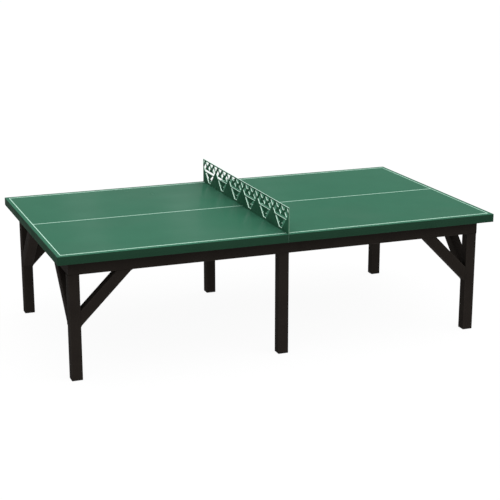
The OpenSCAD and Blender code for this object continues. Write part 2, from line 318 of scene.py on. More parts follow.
def lacquer(s):
    """Green lacquer: long soft patches of dull lacquer painted lighter and greyer as sheen, fine orange
    peel and a few faint play marks.
    """
    f = Finish("green_lacquer")
    # Painted sheen over dull lacquer: long soft patches that turn the top lighter, greyer and a little
    # rougher
    haze_and_sheen = f.spread(f.noise(0.9, 3.0, 0.6, (1.0, 1.6, 1.0), (0.4, 0.1, 0.0)), 0.42, 0.72)
    clouds = f.noise(5.0, 4.0, 0.6)
    peel = f.noise(420.0, 2.0, 0.5)
    wave = f.noise(26.0, 2.0, 0.5)
    marks = f.spread(f.noise(34.0, 5.0, 0.75, (0.35, 1.0, 1.0)), 0.66, 0.80)
    base = f.mix(f.maths("MULTIPLY", haze_and_sheen, 0.75), tuple(s.lacquer), tuple(s.haze_and_sheen))
    base = f.mix(f.spread(clouds, 0.3, 0.7, 0.0, 0.22), base, darker(s.lacquer, 0.82))
    base = f.mix(f.maths("MULTIPLY", marks, 0.10), base, darker(s.haze_and_sheen, 1.25))
    rough = f.maths("ADD", f.spread(haze_and_sheen, 0.0, 1.0, 0.20, 0.26), f.spread(clouds, 0.3, 0.7, -0.02, 0.03))
    f.bump(wave, 0.05, 0.002)
    f.bump(peel, 0.10, 0.0004)
    f.set(Specular_IOR_Level=s.shine)
    return f.finish(base, rough)


def shaded_edge_band(s):
    """Banding on the edges of the boards: darker, as painted shade on their upright sides, with the faint
    long streaks of an extruded strip.
    """
    f = Finish("green_band_painted_shade")
    streaks = f.noise(9.0, 4.0, 0.6, (0.6, 0.6, 26.0))
    cloud = f.noise(7.0, 3.0, 0.6)
    fine = f.noise(300.0, 2.0, 0.5)
    worn = f.maths("MULTIPLY", f.attribute("edge"), f.spread(f.noise(38.0, 5.0, 0.7), 0.45, 0.7))
    # Painted shade on the upright sides: the darker green, with streaks and clouds in it
    base = f.mix(f.spread(streaks, 0.3, 0.7, 0.0, 0.35), tuple(s.shaded_band), darker(s.shaded_band, 0.78))
    base = f.mix(f.spread(cloud, 0.35, 0.75, 0.0, 0.3), base, darker(s.shaded_band, 1.22))
    base = f.mix(f.maths("MULTIPLY", worn, 0.45), base, tuple(s.haze_and_sheen))
    f.bump(streaks, 0.08, 0.0006)
    f.bump(fine, 0.08, 0.0003)
    f.set(Specular_IOR_Level=0.03)
    return f.finish(base, f.spread(cloud, 0.3, 0.7, 0.42, 0.55))


def underside(s):
    """Sealed underside of the boards: dull, with the fibre of the board showing through."""
    f = Finish("sealed_underside")
    fibre = f.noise(60.0, 5.0, 0.7, (1.0, 0.35, 1.0))
    cloud = f.noise(3.5, 4.0, 0.6)
    base = f.mix(f.spread(fibre, 0.35, 0.7, 0.0, 0.5), tuple(s.underside), darker(s.underside, 0.7))
    base = f.mix(f.spread(cloud, 0.4, 0.75, 0.0, 0.35), base, darker(s.underside, 1.35))
    f.bump(fibre, 0.25, 0.0006)
    f.set(Specular_IOR_Level=0.2)
    return f.finish(base, f.spread(cloud, 0.3, 0.7, 0.6, 0.75))


def line_paint(s):
    """White line paint over the lacquer, a little thin here and there."""
    f = Finish("line_paint")
    thin = f.spread(f.noise(55.0, 5.0, 0.7), 0.55, 0.78)
    cloud = f.noise(6.0, 3.0, 0.6)
    base = f.mix(f.spread(cloud, 0.35, 0.7, 0.0, 0.3), tuple(s.line), darker(s.line, 0.86))
    base = f.mix(f.maths("MULTIPLY", thin, 0.35), base, tuple(s.haze_and_sheen))
    f.bump(f.noise(380.0, 2.0, 0.5), 0.12, 0.0004)
    f.set(Specular_IOR_Level=0.15)
    return f.finish(base, f.spread(cloud, 0.3, 0.7, 0.45, 0.6))


def powder_coat(name, base_colour, worn_colour, shine=0.008, grain=520.0, relief=0.22):
    """Powder coat on steel: fine pebbled skin, dust in low places, and rubbed corners, with every rounding
    lighter along its middle as a painted highlight.
    """
    f = Finish(name)
    pebble = f.cells(grain).outputs["Distance"]
    cloud = f.noise(6.5, 4.0, 0.6)
    dust = f.spread(f.noise(22.0, 6.0, 0.72), 0.5, 0.76)
    # Rubbed wear and painted highlight: every rounding turns lighter along its middle, more so in patches
    rub_and_highlight = f.maths("MULTIPLY", f.attribute("edge"), f.spread(f.noise(16.0, 5.0, 0.7), 0.30, 0.62, 0.35, 1.0))
    base = f.mix(f.spread(cloud, 0.35, 0.7, 0.0, 0.5), tuple(base_colour), darker(base_colour, 0.74))
    base = f.mix(f.maths("MULTIPLY", dust, 0.10), base, tuple(worn_colour))
    # Painted highlight and rubbed wear mixed onto the roundings
    base = f.mix(f.maths("MULTIPLY", rub_and_highlight, 0.55), base, tuple(worn_colour))
    rough = f.maths("SUBTRACT", f.spread(cloud, 0.3, 0.7, 0.42, 0.56), f.maths("MULTIPLY", rub_and_highlight, 0.10))
    f.bump(f.noise(90.0, 3.0, 0.5), 0.06, 0.0008)
    f.bump(pebble, relief, 0.0003)
    f.set(Specular_IOR_Level=shine)
    return f.finish(base, rough)


def lit_cut_edge(s):
    """Pale cut edge of the net plate, with the fine upright marks of the cutting jet; partly painted light,
    since only the edges facing up or sideways take it.
    """
    f = Finish("net_lit_cut_edge")
    marks = f.noise(700.0, 3.0, 0.6, (0.06, 1.0, 1.0))
    stain = f.spread(f.noise(28.0, 4.0, 0.7), 0.48, 0.75)
    base = f.mix(f.spread(marks, 0.3, 0.7, 0.0, 0.25), tuple(s.edge), darker(s.edge, 0.8))
    base = f.mix(f.maths("MULTIPLY", stain, 0.35), base, darker(s.edge, 0.6))
    f.bump(marks, 0.15, 0.0002)
    f.set(Specular_IOR_Level=0.3)
    return f.finish(base, f.spread(stain, 0.0, 1.0, 0.4, 0.6))


def zinc_plate(s):
    """Zinc plating: cool grey with a spangle and dull spots."""
    f = Finish("zinc_plate")
    spangle = f.cells(900.0).outputs["Color"]
    dull = f.spread(f.noise(160.0, 4.0, 0.65), 0.42, 0.7)
    base = f.mix(0.12, tuple(s.zinc), spangle)
    base = f.mix(f.maths("MULTIPLY", dull, 0.5), base, darker(s.zinc, 0.62))
    f.bump(f.noise(1500.0, 2.0, 0.5), 0.08, 0.0002)
    f.set(Metallic=1.0)
    return f.finish(base, f.spread(dull, 0.0, 1.0, 0.3, 0.52))


def turned_brass(s):
    """Turned brass with fine rings and a warm tarnish."""
    f = Finish("turned_brass")
    rings = f.noise(80.0, 2.0, 0.5, (1.0, 1.0, 30.0))
    tarnish = f.spread(f.noise(220.0, 4.0, 0.6), 0.45, 0.7)
    base = f.mix(f.maths("MULTIPLY", tarnish, 0.6), tuple(s.brass), darker(s.brass, 0.5))
    f.bump(rings, 0.1, 0.0002)
    f.set(Metallic=1.0)
    return f.finish(base, f.spread(tarnish, 0.0, 1.0, 0.28, 0.5))


def moulded_plastic():
    """Black moulded plastic with a fine spark-eroded grain and scuffs."""
    f = Finish("moulded_plastic")
    grain = f.cells(1400.0).outputs["Distance"]
    scuff = f.spread(f.noise(45.0, 6.0, 0.75, (1.0, 1.0, 3.0)), 0.55, 0.78)
    base = f.mix(f.maths("MULTIPLY", scuff, 0.4), srgb(26, 26, 27), srgb(70, 68, 66))
    f.bump(grain, 0.25, 0.0002)
    f.set(Specular_IOR_Level=0.3)
    return f.finish(base, f.spread(scuff, 0.0, 1.0, 0.5, 0.7))


def frame_coat(context):
    """The frame's powder coat, made once and shared by its tubes, brackets and welds."""
    found = bpy.data.materials.get("brown_powder_coat")
    s = context.scene.table_frame
    return found or powder_coat("brown_powder_coat", s.coat, s.worn)


def shared(name, make, settings):
    return bpy.data.materials.get(name) or make(settings)


# ---------- meshes ----------


def merged_copy(node):
    """The CAD node's own shape as one welded mesh."""
    bm = bmesh.new()
    bm.from_mesh(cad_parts[node].data)
    bmesh.ops.remove_doubles(bm, verts=bm.verts[:], dist=1e-6)
    bmesh.ops.dissolve_limit(
        bm, angle_limit=math.radians(0.5), verts=bm.verts[:], edges=bm.edges[:], delimit={"NORMAL"}
    )
    bm.normal_update()
    return bm


def soften(bm, edges, radius, segments=2):
    """Rounds the given edges and marks the middle of the new rounding in the edge attribute."""
    layer = bm.verts.layers.float.get("edge") or bm.verts.layers.float.new("edge")
    made = bmesh.ops.bevel(
        bm,
        geom=list(edges),
        offset=radius,
        segments=segments,
        profile=0.5,
        affect="EDGES",
        clamp_overlap=False,
    )
    rounding = set(made["faces"])
    for v in made["verts"]:
        v[layer] = 1.0 if all(f in rounding for f in v.link_faces) else 0.0
    bm.normal_update()


def place_piece(name, bm, materials, replaced, crease=32.0):
    """Turns the mesh into a finished object that stands for the given CAD nodes."""
    mesh = bpy.data.meshes.new(name)
    bm.to_mesh(mesh)
    bm.free()
    return place_mesh(name, mesh, materials, replaced, crease)


def place_mesh(name, mesh, materials, replaced, crease=32.0):
    if not mesh.materials:
        for material in materials:
            mesh.materials.append(material)
    mesh.shade_smooth()
    mesh.set_sharp_from_angle(angle=math.radians(crease))
    piece = bpy.data.objects.new(name, mesh)
    bpy.context.scene.collection.objects.link(piece)
    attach(piece, ROOT)
    if replaced:
        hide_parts(*replaced)
    return piece


def centre_of(box):
    return (box[0] + box[1]) / 2


def rounded_section(width, depth, radius, steps):
    """Points round a rounded rectangle, each as (across, up, how far into a corner it lies)."""
    points = []
    for quarter, (sx, sy) in enumerate(((1, 1), (-1, 1), (-1, -1), (1, -1))):
        for step in range(steps + 1):
            turn = math.pi / 2 * (quarter + step / steps)
            points.append(
                (
                    sx * (width / 2 - radius) + radius * math.cos(turn),
                    sy * (depth / 2 - radius) + radius * math.sin(turn),
                    1 - abs(2 * step / steps - 1),
                )
            )
    return points


def add_tube(bm, settings, origin, across, up, width, depth, start, end):
    """Adds a hollow tube. Its axis is across x up; start and end are the planes that cut it."""
    layer = bm.verts.layers.float.get("edge") or bm.verts.layers.float.new("edge")
    along = across.cross(up)
    outer = rounded_section(width, depth, settings.corner, settings.steps)
    inside = settings.corner - settings.wall
    inner = rounded_section(width - 2 * settings.wall, depth - 2 * settings.wall, inside, settings.steps)

    def ring(points, plane):
        spot, normal = plane
        made = []
        for x, y, edge in points:
            base = origin + across * x + up * y
            run = (spot - base).dot(normal) / along.dot(normal)
            vertex = bm.verts.new(base + along * run)
            vertex[layer] = edge
            made.append(vertex)
        return made

    rings = [ring(outer, start), ring(outer, end), ring(inner, end), ring(inner, start)]
    count = len(outer)
    for a, b in zip(rings, rings[1:] + rings[:1]):
        for i in range(count):
            j = (i + 1) % count
            bm.faces.new((a[i], a[j], b[j], b[i]))


def tube_piece(context, name, tubes):
    """One finished tube that stands for the CAD node of that name."""
    bm = bmesh.new()
    for tube in tubes:
        add_tube(bm, context.scene.table_frame, *tube)
    bmesh.ops.recalc_face_normals(bm, faces=bm.faces[:])
    return place_piece(name + "_tube", bm, [frame_coat(context)], [name], 40.0)


X, Y, Z = Vector((1, 0, 0)), Vector((0, 1, 0)), Vector((0, 0, 1))


# ---------- geometry nodes ----------


class Tree:
    """A Geometry Nodes tree built in code, with named inputs."""

    def __init__(self, name):
        self.group = bpy.data.node_groups.new(name, "GeometryNodeTree")
        self.face = self.group.interface
        self.face.new_socket(name="Geometry", in_out="INPUT", socket_type="NodeSocketGeometry")
        self.face.new_socket(name="Geometry", in_out="OUTPUT", socket_type="NodeSocketGeometry")
        self.entry = self.group.nodes.new("NodeGroupInput")
        self.exit = self.group.nodes.new("NodeGroupOutput")
        self.values = {}

    def input(self, name, kind, value):
        """A named input, and what the modifier gives it."""
        socket = self.face.new_socket(name=name, in_out="INPUT", socket_type="NodeSocket" + kind)
        self.values[socket.identifier] = value
        return self.entry.outputs[name]

    def node(self, kind, links=None, **values):
        made = self.group.nodes.new(kind)
        for key, value in values.items():
            setattr(made, key, value)
        for key, value in (links or {}).items():
            socket = made.inputs[key]
            if isinstance(value, bpy.types.NodeSocket):
                self.group.links.new(value, socket)
            else:
                socket.default_value = value
        return made

    def maths(self, operation, *values):
        made = self.group.nodes.new("ShaderNodeMath")
        made.operation = operation
        for socket, value in zip(made.inputs, values):
            if isinstance(value, bpy.types.NodeSocket):
                self.group.links.new(value, socket)
            else:
                socket.default_value = value
        return made.outputs["Value"]

    def close(self, geometry, material):
        """Ends the tree in Realize Instances and Set Material."""
        real = self.node("GeometryNodeRealizeInstances", {"Geometry": geometry})
        coated = self.node("GeometryNodeSetMaterial", {"Geometry": real.outputs["Geometry"]})
        self.group.links.new(self.input("Material", "Material", material), coated.inputs["Material"])
        self.group.links.new(coated.outputs["Geometry"], self.exit.inputs["Geometry"])

    def run(self, name, mesh):
        """The plain mesh that the tree makes from the given one."""
        carrier = bpy.data.objects.new(name + "_carrier", mesh)
        bpy.context.scene.collection.objects.link(carrier)
        modifier = carrier.modifiers.new("nodes", "NODES")
        modifier.node_group = self.group
        for identifier, value in self.values.items():
            modifier[identifier] = value
        carrier.update_tag()
        bpy.context.view_layer.update()
        evaluated = carrier.evaluated_get(bpy.context.evaluated_depsgraph_get())
        made = bpy.data.meshes.new_from_object(evaluated)
        made.name = name
        bpy.data.objects.remove(carrier)
        return made


def fixing_tree(name, seed, material):
    """Sets a copy of a fixing on every point, turned about its own axis by a seeded amount."""
    tree = Tree(name)
    part = tree.input("Fixing", "Object", None)
    seed_in = tree.input("Seed", "Int", seed)
    tilt = tree.input("Tilt", "Float", 0.0)
    loose = tree.input("Most turn", "Float", math.tau)
    info = tree.node("GeometryNodeObjectInfo", {"Object": part})
    turn = tree.node("FunctionNodeRandomValue", {"Seed": seed_in}, data_type="FLOAT")
    tree.group.links.new(loose, turn.inputs["Max"] if turn.inputs["Max"].enabled else turn.inputs[3])
    spun = next(s for s in turn.outputs if s.enabled)
    tipped = tree.node("ShaderNodeCombineXYZ", {"Y": tilt})
    points = tree.node(
        "GeometryNodeInstanceOnPoints",
        {
            "Points": tree.entry.outputs["Geometry"],
            "Instance": info.outputs["Geometry"],
            "Rotation": tipped.outputs["Vector"],
        },
    )
    spin = tree.node("ShaderNodeCombineXYZ", {"Z": spun})
    turned = tree.node(
        "GeometryNodeRotateInstances",
        {"Instances": points.outputs["Instances"], "Rotation": spin.outputs["Vector"], "Local Space": True},
    )
    tree.close(turned.outputs["Instances"], material)
    return tree


def weld_tree(context):
    """Lays a rippled bead along every edge of the mesh it is given."""
    s = context.scene.table_frame
    tree = Tree("weld_bead")
    radius = tree.input("Radius", "Float", s.bead)
    ripple = tree.input("Ripple", "Float", s.ripple)
    step = tree.input("Step", "Float", s.ripple / 4)
    curve = tree.node("GeometryNodeMeshToCurve", {"Mesh": tree.entry.outputs["Geometry"]})
    even = tree.node(
        "GeometryNodeResampleCurve", {"Curve": curve.outputs["Curve"], "Length": step}, mode="LENGTH"
    )
    along = tree.node("GeometryNodeSplineParameter").outputs["Length"]
    wave = tree.maths("SINE", tree.maths("MULTIPLY", tree.maths("DIVIDE", along, ripple), math.tau))
    place = tree.node("GeometryNodeInputPosition").outputs["Position"]
    noise = tree.node("ShaderNodeTexNoise", {"Vector": place, "Scale": 60.0, "Detail": 2.0})
    uneven = tree.maths("MULTIPLY", tree.maths("SUBTRACT", noise.outputs["Fac"], 0.5), 0.5)
    size = tree.maths("ADD", tree.maths("ADD", 1.0, tree.maths("MULTIPLY", wave, 0.10)), uneven)
    width = tree.maths("MULTIPLY", size, radius)
    sized = tree.node("GeometryNodeSetCurveRadius", {"Curve": even.outputs["Curve"], "Radius": width})
    ring = tree.node("GeometryNodeCurvePrimitiveCircle", {"Resolution": 10, "Radius": 1.0})
    links = {"Curve": sized.outputs["Curve"], "Profile Curve": ring.outputs["Curve"], "Fill Caps": True}
    bead = tree.node("GeometryNodeCurveToMesh", links)
    if "Scale" in bead.inputs:
        tree.group.links.new(width, bead.inputs["Scale"])
    tree.close(bead.outputs["Mesh"], frame_coat(context))
    return tree


# ---------- pieces ----------


class TABLE_OT_top(bpy.types.Operator):
    """Builds the two halves of the playing top with their painted lines"""

    bl_idname = "table.top"
    bl_label = "Playing Top"

    def execute(self, context):
        s = context.scene.table_top
        materials = [
            shared("green_lacquer", lacquer, s),
            shared("line_paint", line_paint, s),
            shared("green_band_painted_shade", shaded_edge_band, s),
            shared("sealed_underside", underside, s),
        ]
        for side in END_COLUMNS:
            self.board("tabletop_" + side, s, materials)
        return {"FINISHED"}

    def board(self, node, s, materials):
        low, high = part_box(node)
        bm = merged_copy(node)
        box_edges = [e for e in bm.edges if e.calc_length() > 0.04 and e.calc_face_angle(0) > 1.0]
        seam = [e for e in box_edges if all(abs(v.co.x) < s.arris for v in e.verts)]
        soften(bm, set(box_edges) - set(seam), s.arris, 3)
        seam = [
            e for e in bm.edges
            if all(abs(v.co.x) < s.hairline for v in e.verts) and e.calc_face_angle(0) > 1.0
        ]
        soften(bm, seam, s.hairline)
        layer = bm.verts.layers.float["edge"]
        for v in bm.verts:
            v[layer] = v[layer] if abs(v.co.x) > s.arris else 0.0
        reach = Vector((max(abs(low.x), abs(high.x)) - s.end_margin, high.y - s.side_margin))
        cuts = [(X, sign * x) for sign in (-1, 1) for x in (reach.x, reach.x - s.end_line)]
        rows = (reach.y, reach.y - s.side_line, s.centre_line / 2)
        cuts += [(Y, sign * y) for sign in (-1, 1) for y in rows]
        for normal, distance in cuts:
            upper = [f for f in bm.faces if f.normal.z > 0.2]
            edges = {e for f in upper for e in f.edges}
            verts = {v for f in upper for v in f.verts}
            bmesh.ops.bisect_plane(
                bm,
                geom=[*verts, *edges, *upper],
                dist=SAME_PLANE,
                plane_co=normal * distance,
                plane_no=normal,
            )
            bm.normal_update()
        for face in bm.faces:
            face.material_index = self.finish_of(face, s, reach)
        place_piece(node + "_board", bm, materials, [node], 50.0)

    @staticmethod
    def finish_of(face, s, reach):
        """Which material a face takes: 0 lacquer, 1 line, 2 darker banding as painted shade on the sides, 3
        underside.
        """
        if face.normal.z < -0.9:
            return 3
        # Upright and sloping faces take the darker banding as painted shade
        if face.normal.z < 0.6:
            return 2
        spot = face.calc_center_median()
        x, y = abs(spot.x), abs(spot.y)
        if x > reach.x or y > reach.y:
            return 0
        painted = x > reach.x - s.end_line or y > reach.y - s.side_line or y < s.centre_line / 2
        return 1 if painted else 0


class TABLE_OT_net(bpy.types.Operator):
    """Builds the cut-out net plate"""

    bl_idname = "table.net"
    bl_label = "Net Plate"

    def execute(self, context):
        s = context.scene.table_net
        bm = merged_copy("net_plate")
        rims = [
            e for e in bm.edges
            if e.is_manifold and e.calc_face_angle(0) > 0.6 and e.calc_length() > SHORTEST_RIM
        ]
        across = [e for e in rims if any(abs(f.normal.x) > 0.9 for f in e.link_faces)]
        soften(bm, across, s.arris, 2)
        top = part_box("tabletop_left")[1].z
        inner_y = self.inner_y()
        ends = [f for f in bm.faces if abs(f.normal.y) > 0.9 and abs(f.calc_center_median().y) > inner_y]
        edges = {e for f in ends for e in f.edges}
        verts = {v for f in ends for v in f.verts}
        cut = [*verts, *edges, *ends]
        bmesh.ops.bisect_plane(bm, geom=cut, dist=SAME_PLANE, plane_co=Z * top, plane_no=Z)
        bm.normal_update()
        for face in bm.faces:
            face.material_index = self.finish_of(face, top)
        materials = [
            powder_coat("net_coat", s.face, darker(s.edge, 0.45), 0.03, 620.0, 0.18),
            lit_cut_edge(s),
            shared("green_band_painted_shade", shaded_edge_band, context.scene.table_top),
            powder_coat("net_end_coat", s.thin, darker(s.edge, 0.45), 0.03, 620.0, 0.18),
        ]
        place_piece("net_plate_sheet", bm, materials, ["net_plate"], 40.0)
        return {"FINISHED"}

    @staticmethod
    def inner_y():
        """Just inside the ends of the plate."""
        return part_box("net_plate")[1].y - END_DEPTH

    def finish_of(self, face, top):
        """Which material a face takes: 0 coat, 1 pale edges facing up or sideways, partly painted light, 2
        the boards' darker banding as painted shade, between the boards, 3 ends; cut edges facing down keep
        the coat as painted shade.
        """
        spot, normal = face.calc_center_median(), face.normal
        at_end = abs(spot.y) > self.inner_y()
        if spot.z < top:
            return 2 if at_end else 0
        # The upright ends above the top take the lighter grey-green
        if at_end:
            return 3
        # Painted light and shade: cut edges facing up or sideways are pale, those facing down keep the dark
        # coat
        return 1 if abs(normal.x) < 0.75 and normal.z > -0.2 else 0


class TABLE_OT_rails(bpy.types.Operator):
    """Builds the mitred rails and the three cross rails"""

    bl_idname = "table.rails"
    bl_label = "Rails"

    def execute(self, context):
        left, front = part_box("rail_left"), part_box("rail_front")
        size, front_y = left[1].x - left[0].x, -front[0].y
        for row, ahead in ROWS.items():
            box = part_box("rail_" + row)
            ends = [self.mitre(side * box[1].x, ahead * front_y) for side in (-1, 1)]
            tube_piece(context, "rail_" + row, [(centre_of(box), Y, Z, size, box[1].z - box[0].z, *ends)])
        for column, side in END_COLUMNS.items():
            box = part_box("rail_" + column)
            ends = [self.mitre(side * front[1].x, ahead * front_y) for ahead in (1, -1)]
            depth = box[1].z - box[0].z
            tube_piece(context, "rail_" + column, [(centre_of(box), X, Z, size, depth, *ends)])
        for column in COLUMNS:
            self.cross_rail(context, column)
        return {"FINISHED"}

    @staticmethod
    def mitre(x, y):
        """The upright plane that cuts a corner of the frame, through its outer and inner corner."""
        return Vector((x, y, 0)), Vector((-math.copysign(1, y), math.copysign(1, x), 0)).normalized()

    def cross_rail(self, context, column):
        name = "cross_rail_" + column
        low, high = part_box(name)
        ends = [(Vector((0, high.y, 0)), Y), (Vector((0, low.y, 0)), Y)]
        if column == "middle":
            bm = merged_copy(name)
            place_piece(name + "_tube", bm, [frame_coat(context)], [name], 40.0)
            return
        tube_piece(context, name, [(centre_of((low, high)), X, Z, high.x - low.x, high.z - low.z, *ends)])


class TABLE_OT_legs(bpy.types.Operator):
    """Builds the six legs"""

    bl_idname = "table.legs"
    bl_label = "Legs"

    def execute(self, context):
        for row in ROWS:
            for column in COLUMNS:
                name = f"leg_{row}_{column}"
                low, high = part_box(name)
                size = high.x - low.x
                ends = [(low, Z), (high, Z)]
                tube_piece(context, name, [(centre_of((low, high)), X, Y, size, size, *ends)])
        return {"FINISHED"}


class TABLE_OT_braces(bpy.types.Operator):
    """Builds the eight diagonal braces"""

    bl_idname = "table.braces"
    bl_label = "Braces"

    def execute(self, context):
        for row, ahead in ROWS.items():
            for column, side in END_COLUMNS.items():
                self.brace(context, f"side_brace_{row}_{column}", X * -side, Y)
                self.brace(context, f"end_brace_{row}_{column}", Y * -ahead, X)
        return {"FINISHED"}

    def brace(self, context, name, out, flat):
        """A brace that runs out from its leg towards out, and up to the rail."""
        corner, reach, width = brace_place(name, out, flat)
        # The outer face runs from reach below the rail to reach along it
        axis = (out + Z).normalized()
        inward = (Z - out).normalized()
        origin = corner + out * (reach / 2) - Z * (reach / 2) + inward * (width / 2)
        up = axis.cross(flat)
        ends = [(corner, out), (corner, Z)]
        tube_piece(context, name, [(origin, flat, up, width, width, *ends)])


def brace_place(name, out, flat):
    """The corner of leg and rail that a brace closes, how far it reaches along both, and its width."""
    low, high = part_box(name)
    reach = high.z - low.z
    corner = centre_of((low, high)) - out * (reach / 2) + Z * (reach / 2)
    return corner, reach, abs((high - low).dot(flat))


class TABLE_OT_welds(bpy.types.Operator):
    """Lays the weld beads where the tubes meet"""

    bl_idname = "table.welds"
    bl_label = "Welds"

    def execute(self, context):
        s = context.scene.table_frame
        lines = bmesh.new()
        inset = s.bead * 0.55
        for row, ahead in ROWS.items():
            for column in COLUMNS:
                self.loop_round(lines, f"leg_{row}_{column}", inset)
            for column, side in END_COLUMNS.items():
                self.brace_ends(lines, f"side_brace_{row}_{column}", X * -side, Y, inset)
                self.brace_ends(lines, f"end_brace_{row}_{column}", Y * -ahead, X, inset)
        for column in COLUMNS:
            self.cross_rail_ends(lines, "cross_rail_" + column, inset)
        for ahead in ROWS.values():
            for side in END_COLUMNS.values():
                self.mitre(lines, side, ahead, inset)
        mesh = bpy.data.meshes.new("weld_lines")
        lines.to_mesh(mesh)
        lines.free()
        made = weld_tree(context).run("weld_beads", mesh)
        place_mesh("weld_beads", made, [frame_coat(context)], [], 60.0)
        return {"FINISHED"}

    @staticmethod
    def path(lines, points, closed=False):
        """Joins the points with edges, for the bead to follow."""
        verts = [lines.verts.new(p) for p in points]
        for a, b in zip(verts, verts[1:] + (verts[:1] if closed else [])):
            lines.edges.new((a, b))

    def loop_round(self, lines, leg, inset):
        """Round the top of a leg, under its rail."""
        low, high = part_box(leg)
        section = rounded_section(high.x - low.x - 2 * inset, high.y - low.y - 2 * inset, WELD_CORNER, 3)
        middle = centre_of((low, high))
        points = [Vector((middle.x + x, middle.y + y, high.z + inset * 0.2)) for x, y, _ in section]
        self.path(lines, points, True)

    def brace_ends(self, lines, name, out, flat, inset):
        """Round both ends of a brace."""
        corner, reach, width = brace_place(name, out, flat)
        throat = reach - width * math.sqrt(2)
        half = flat * (width / 2 - inset)
        for far in (reach - inset, throat + inset):
            self.path(lines, [corner + out * far - half, corner + out * far + half])
            self.path(lines, [corner - Z * far - half, corner - Z * far + half])
        for sign in (-1, 1):
            edge = corner + half * sign
            for way in (out, -Z):
                self.path(lines, [edge + way * (throat + inset), edge + way * (reach - inset)])

    def cross_rail_ends(self, lines, name, inset):
        """Down both sides and along the bottom of each end of a cross rail."""
        low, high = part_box(name)
        for y in (low.y, high.y):
            points = [(low.x, high.z - inset), (low.x, low.z), (high.x, low.z), (high.x, high.z - inset)]
            self.path(lines, [Vector((x, y, z)) for x, z in points])

    def mitre(self, lines, side, ahead, inset):
        """Up the inner corner of the frame."""
        low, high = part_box("rail_front")
        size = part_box("rail_left")[1].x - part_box("rail_left")[0].x
        x, y = side * (high.x - size), ahead * (-low.y - size)
        self.path(lines, [Vector((x, y, low.z)), Vector((x, y, high.z - inset))])


class TABLE_OT_feet(bpy.types.Operator):
    """Builds the plastic caps under the legs"""

    bl_idname = "table.feet"
    bl_label = "Foot Caps"

    def execute(self, context):
        plastic = moulded_plastic()
        for row in ROWS:
            for column in COLUMNS:
                name = f"foot_cap_{row}_{column}"
                low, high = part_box(name)
                bm = merged_copy(name)
                foot = [
                    e for e in bm.edges
                    if e.calc_face_angle(0) > 1.0 and all(abs(v.co.z - low.z) < 1e-5 for v in e.verts)
                ]
                soften(bm, foot, FOOT_ROUND, 3)
                place_piece(name + "_moulding", bm, [plastic], [name])
        return {"FINISHED"}


class TABLE_OT_brackets(bpy.types.Operator):
    """Builds the angle brackets that carry the top"""

    bl_idname = "table.brackets"
    bl_label = "Brackets"

    def execute(self, context):
        s = context.scene.table_fixings
        for name, place in bracket_places().items():
            low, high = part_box(name)
            bm = merged_copy(name)
            bend = [e for e in bm.edges if self.lies_on(e, place, 0.0, 0.0)]
            soften(bm, bend, s.bracket_wall * 0.9, 4)
            inner = [e for e in bm.edges if self.lies_on(e, place, s.bracket_wall, -s.bracket_wall)]
            soften(bm, inner, s.bracket_wall * 0.5, 3)
            reach = high.z - low.z
            rims = [
                e for e in bm.edges
                if self.lies_on(e, place, reach, None) or self.lies_on(e, place, None, -reach)
            ]
            soften(bm, rims, RIM_ROUND, 2)
            place_piece(name + "_angle", bm, [frame_coat(context)], [name], 40.0)
        return {"FINISHED"}

    @staticmethod
    def lies_on(edge, place, out, up):
        """Whether an edge runs along the bracket at that distance out from the rail and up from the top."""
        back = place.inverted()
        a, b = (back @ v.co for v in edge.verts)
        if abs(a.y - b.y) < 0.02:
            return False
        near = 1e-4
        return all(
            (out is None or abs(p.x - out) < near) and (up is None or abs(p.z - up) < near) for p in (a, b)
        )


def bracket_places():
    """Each bracket's place: its origin in the bend, X out from the rail, Y along it, Z up."""
    turns = {"front": Y, "back": -Y, "end_left": X, "end_right": -X, "middle_left": -X, "middle_right": X}
    places = {}
    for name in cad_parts:
        if not name.startswith("bracket_"):
            continue
        out = next(v for key, v in turns.items() if name.startswith("bracket_" + key))
        low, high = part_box(name)
        middle = centre_of((low, high))
        half = abs((high - low).dot(out)) / 2
        origin = middle - out * half
        origin.z = high.z
        side = Z.cross(out)
        turn = Matrix((out, side, Z)).transposed().to_4x4()
        places[name] = Matrix.Translation(origin) @ turn
    return places


def points_mesh(name, points):
    mesh = bpy.data.meshes.new(name)
    mesh.from_pydata([tuple(p) for p in points], [], [])
    return mesh


def turned(profile, steps):
    """A shape turned about Z from a closed profile of (radius, height) points."""
    bm = bmesh.new()
    rings = []
    for radius, height in profile:
        if radius == 0:
            rings.append([bm.verts.new((0, 0, height))])
            continue
        ring = []
        for i in range(steps):
            turn = math.tau * i / steps
            ring.append(bm.verts.new((radius * math.cos(turn), radius * math.sin(turn), height)))
        rings.append(ring)
    loops = list(zip(rings, rings[1:]))
    if profile[0][0] and profile[-1][0]:
        loops.append((rings[-1], rings[0]))
    for a, b in loops:
        for i in range(steps):
            j = (i + 1) % steps
            corners = [a[i % len(a)], a[j % len(a)], b[j % len(b)], b[i % len(b)]]
            kept = list(dict.fromkeys(corners))
            if len(kept) > 2:
                bm.faces.new(kept)
    bmesh.ops.recalc_face_normals(bm, faces=bm.faces[:])
    return bm


def add_to(bm, other, at=0.0):
    """Joins another shape into this one, moved up by at."""
    bmesh.ops.translate(other, verts=other.verts[:], vec=(0, 0, at))
    mesh = bpy.data.meshes.new("joined")
    other.to_mesh(mesh)
    other.free()
    bm.from_mesh(mesh)
    bpy.data.meshes.remove(mesh)


